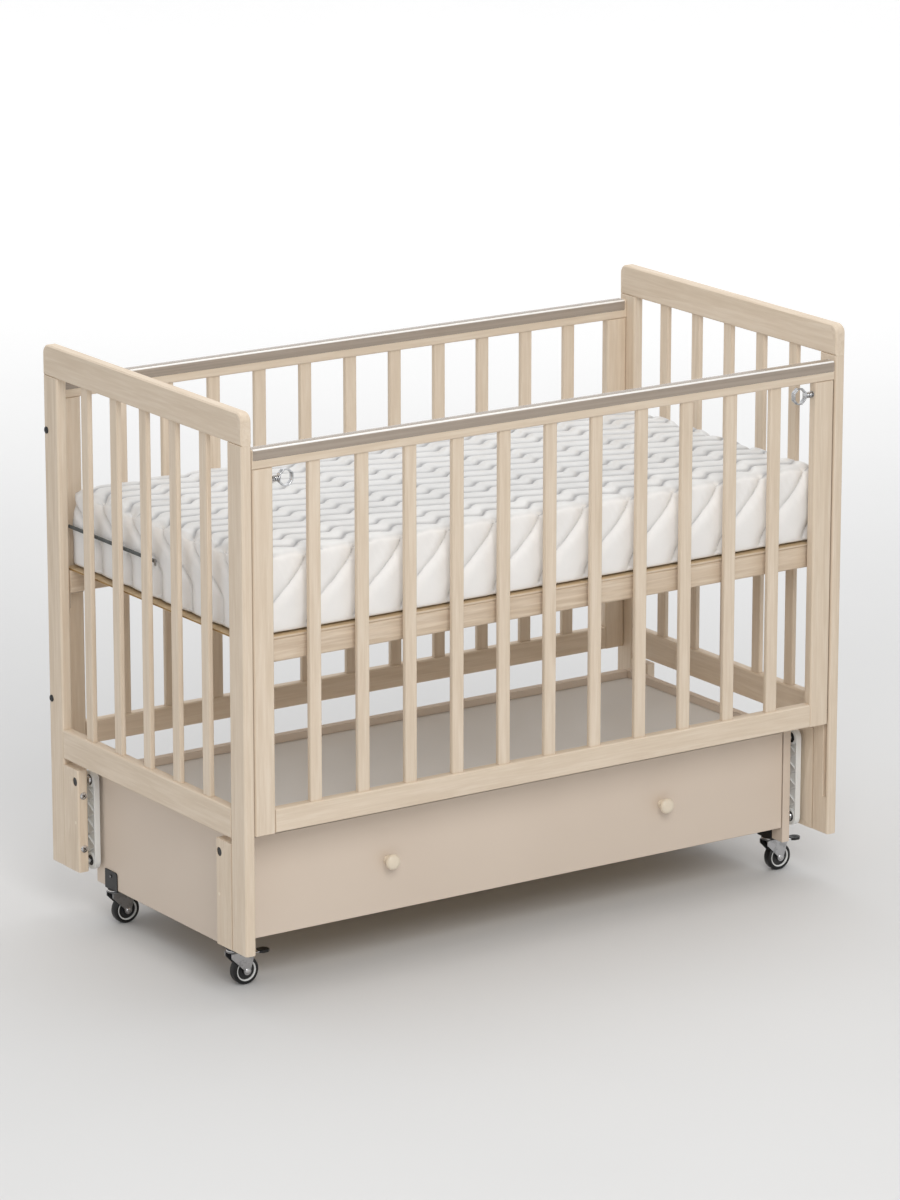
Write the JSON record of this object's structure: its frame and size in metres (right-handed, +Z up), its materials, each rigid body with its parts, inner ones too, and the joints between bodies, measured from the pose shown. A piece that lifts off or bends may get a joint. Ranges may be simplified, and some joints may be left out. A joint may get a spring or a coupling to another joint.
{
  "type": "pendulum crib with drawer",
  "caption": "Baby crib with a drop side and mattress, hung on pendulum links from a drawer stand on casters.",
  "frame": {"origin": "on the floor under the middle of the crib", "axes": "+X along the crib to its right end, -Y to the drop side and the drawer front, +Z up"},
  "size_m": [1.26, 0.65, 1.029],
  "materials": {
    "wood": "whitewashed beech with fine grain, silk lacquer",
    "board": "smooth lacquered board",
    "plywood": "thin plywood with golden edges",
    "top_panel": "thin grey coated hardboard, soft sheen",
    "cover": "clear glossy channel",
    "white_plastic": "smooth white moulding",
    "cream_plastic": "smooth cream lacquer",
    "black_plastic": "black moulding",
    "brake_lever": "pressed steel with a black pad",
    "steel": "zinc plated",
    "chrome": "bright chrome band",
    "wheel": "black rubber tread on a pale hub",
    "quilt": "pale quilted cloth with a soft sheen"
  },
  "bodies": {
    "stand": {"stand_sides": "board", "stand_back_board": "board", "stand_front_rail": "board", "stand_top_panel": "top_panel", "drawer_guides": "board", "caster_shoes": "black_plastic", "upper_pivot_bolts": "steel"},
    "drawer": {"drawer_front": "board", "drawer_sides": "board", "drawer_back": "board", "drawer_bottom": "plywood", "drawer_knobs": "cream_plastic"},
    "crib": {"end_posts": "wood", "end_top_rails": "wood", "end_bottom_rails": "wood", "end_slats": "wood", "leg_blocks": "wood", "leg_hole_plugs": "black_plastic", "lower_pivot_bolts": "steel", "rear_rails": "wood", "rear_stiles": "wood", "rear_slats": "wood", "rear_cover": "cover", "base_rails": "wood", "base_battens": "wood", "base_board": "plywood", "base_brackets": "steel", "mattress": "quilt"},
    "drop_side": {"drop_rails": "wood", "drop_stiles": "wood", "drop_slats": "wood", "drop_cover": "cover", "guide_pins": "black_plastic", "latch_springs": "steel"},
    "latch_left": {"latch_left": "chrome"},
    "latch_right": {"latch_right": "chrome"},
    "link_front_left": {"link_front_left": "white_plastic"},
    "link_front_right": {"link_front_right": "white_plastic"},
    "link_rear_left": {"link_rear_left": "white_plastic"},
    "link_rear_right": {"link_rear_right": "white_plastic"},
    "fork_front_left": {"fork_front_left": "steel"},
    "wheel_front_left": {"wheel_front_left": "wheel"},
    "brake_pedal_front_left": {"brake_pedal_front_left": "brake_lever"},
    "fork_front_right": {"fork_front_right": "steel"},
    "wheel_front_right": {"wheel_front_right": "wheel"},
    "brake_pedal_front_right": {"brake_pedal_front_right": "brake_lever"},
    "fork_rear_left": {"fork_rear_left": "steel"},
    "wheel_rear_left": {"wheel_rear_left": "wheel"},
    "fork_rear_right": {"fork_rear_right": "steel"},
    "wheel_rear_right": {"wheel_rear_right": "wheel"}
  },
  "joints": [
    {"name": "drawer_slide", "type": "slide", "parent": "stand", "child": "drawer", "axis": [0, -1, 0], "range_m": [0, 0.35]},
    {"name": "link_front_left_swing", "type": "hinge", "parent": "stand", "child": "link_front_left", "pos_m": [-0.5895, -0.239, 0.2595], "axis": [1, 0, 0], "range_deg": [-10, 10]},
    {"name": "link_front_right_swing", "type": "hinge", "parent": "stand", "child": "link_front_right", "pos_m": [0.5895, -0.239, 0.2595], "axis": [1, 0, 0], "range_deg": [-10, 10]},
    {"name": "link_rear_left_swing", "type": "hinge", "parent": "stand", "child": "link_rear_left", "pos_m": [-0.5895, 0.239, 0.2595], "axis": [1, 0, 0], "range_deg": [-10, 10]},
    {"name": "link_rear_right_swing", "type": "hinge", "parent": "stand", "child": "link_rear_right", "pos_m": [0.5895, 0.239, 0.2595], "axis": [1, 0, 0], "range_deg": [-10, 10]},
    {"name": "crib_swing", "type": "hinge", "parent": "link_front_left", "child": "crib", "pos_m": [-0.5895, -0.239, 0.1115], "axis": [1, 0, 0], "range_deg": [-10, 10]},
    {"name": "drop_side_slide", "type": "slide", "parent": "crib", "child": "drop_side", "axis": [0, 0, 1], "range_m": [-0.15, 0]},
    {"name": "latch_left_pull", "type": "slide", "parent": "drop_side", "child": "latch_left", "axis": [1, 0, 0], "range_m": [0, 0.01], "stiffness_N_per_m": 400},
    {"name": "latch_right_pull", "type": "slide", "parent": "drop_side", "child": "latch_right", "axis": [-1, 0, 0], "range_m": [0, 0.01], "stiffness_N_per_m": 400},
    {"name": "caster_front_left_swivel", "type": "hinge", "parent": "stand", "child": "fork_front_left", "pos_m": [-0.569, -0.1985, 0.062], "axis": [0, 0, 1], "continuous": true},
    {"name": "wheel_front_left_roll", "type": "hinge", "parent": "fork_front_left", "child": "wheel_front_left", "pos_m": [-0.55, -0.1985, 0.025], "axis": [0, 1, 0], "continuous": true},
    {"name": "brake_pedal_front_left_press", "type": "hinge", "parent": "fork_front_left", "child": "brake_pedal_front_left", "pos_m": [-0.54, -0.1985, 0.053], "axis": [0, 1, 0], "range_deg": [0, 15]},
    {"name": "caster_front_right_swivel", "type": "hinge", "parent": "stand", "child": "fork_front_right", "pos_m": [0.569, -0.1985, 0.062], "axis": [0, 0, 1], "continuous": true},
    {"name": "wheel_front_right_roll", "type": "hinge", "parent": "fork_front_right", "child": "wheel_front_right", "pos_m": [0.588, -0.1985, 0.025], "axis": [0, 1, 0], "continuous": true},
    {"name": "brake_pedal_front_right_press", "type": "hinge", "parent": "fork_front_right", "child": "brake_pedal_front_right", "pos_m": [0.598, -0.1985, 0.053], "axis": [0, 1, 0], "range_deg": [0, 15]},
    {"name": "caster_rear_left_swivel", "type": "hinge", "parent": "stand", "child": "fork_rear_left", "pos_m": [-0.569, 0.1985, 0.062], "axis": [0, 0, 1], "continuous": true},
    {"name": "wheel_rear_left_roll", "type": "hinge", "parent": "fork_rear_left", "child": "wheel_rear_left", "pos_m": [-0.55, 0.1985, 0.025], "axis": [0, 1, 0], "continuous": true},
    {"name": "caster_rear_right_swivel", "type": "hinge", "parent": "stand", "child": "fork_rear_right", "pos_m": [0.569, 0.1985, 0.062], "axis": [0, 0, 1], "continuous": true},
    {"name": "wheel_rear_right_roll", "type": "hinge", "parent": "fork_rear_right", "child": "wheel_rear_right", "pos_m": [0.588, 0.1985, 0.025], "axis": [0, 1, 0], "continuous": true}
  ],
  "couplings": [
    {"joint": "link_front_right_swing", "follows": "link_front_left_swing", "ratio": 1},
    {"joint": "link_rear_left_swing", "follows": "link_front_left_swing", "ratio": 1},
    {"joint": "link_rear_right_swing", "follows": "link_front_left_swing", "ratio": 1},
    {"joint": "crib_swing", "follows": "link_front_left_swing", "ratio": -1}
  ]
}
